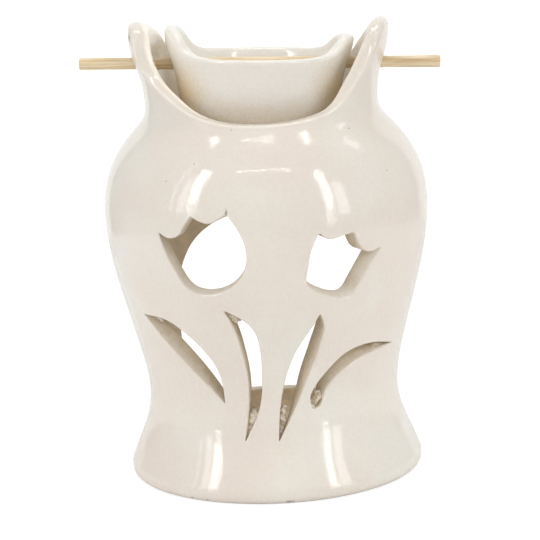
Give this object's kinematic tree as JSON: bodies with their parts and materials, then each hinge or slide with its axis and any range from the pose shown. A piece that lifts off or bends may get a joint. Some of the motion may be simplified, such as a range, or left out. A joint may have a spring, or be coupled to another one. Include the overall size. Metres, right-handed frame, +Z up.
{
  "type": "tea light oil burner",
  "caption": "Glazed pottery tea light burner: a vase-shaped chamber pierced with flowers and leaves, and a small oil bowl that hangs from a bamboo stick between two horns.",
  "frame": {"origin": "centre of the foot, on the surface that the burner stands on", "axes": "+Z up through the mouth of the pot, -Y towards the front with the flowers, +X to the right seen from the front, close to the bamboo stick's direction"},
  "size_m": [0.12, 0.109, 0.1527],
  "materials": {
    "burner_glaze": "glossy cream glaze with fine pinholes, greener and paler at the sides, tan and rougher on the cut edges and inside",
    "bowl_glaze": "glossy cream glaze with fine pinholes, warm tan along the rim",
    "bamboo": "dry split bamboo, rounded, with lengthwise grain"
  },
  "bodies": {
    "burner": {"burner_body": "burner_glaze"},
    "bowl": {"oil_bowl": "bowl_glaze"},
    "stick": {"bamboo_stick": "bamboo"}
  },
  "joints": [
    {"name": "bowl_swing", "type": "hinge", "parent": "burner", "child": "bowl", "pos_m": [0, 0, 0.1375], "axis": [0.9993, 0, -0.0366], "range_deg": [-35, 35]},
    {"name": "stick_slide", "type": "slide", "parent": "burner", "child": "stick", "axis": [0.9993, 0, -0.0366], "range_m": [-0.015, 0.015]}
  ]
}
